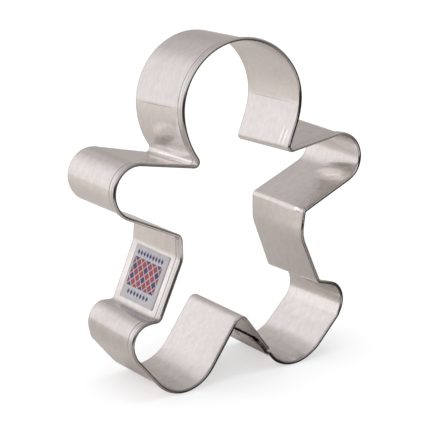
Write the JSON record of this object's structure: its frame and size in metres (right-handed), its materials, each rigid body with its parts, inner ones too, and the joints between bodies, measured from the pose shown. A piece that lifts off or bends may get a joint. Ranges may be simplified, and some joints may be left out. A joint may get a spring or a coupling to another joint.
{
  "type": "cookie cutter",
  "caption": "Gingerbread-man cookie cutter: an open band of tinplate bent into a figure, with a rolled rim in front, a bare cutting edge behind and a spot-welded lap on one leg.",
  "frame": {"origin": "bottom centre of the bounding box: the figure stands on its feet on Z = 0", "axes": "+X across the figure, +Y from the rolled rim to the cutting edge, +Z from the feet to the head"},
  "size_m": [0.0894, 0.0254, 0.1028],
  "materials": {
    "tinplate": "satin",
    "weld": "satin",
    "label": "satin"
  },
  "bodies": {
    "root": {"cutter_band": "tinplate", "spot_welds": "weld", "label": "label"}
  },
  "joints": []
}
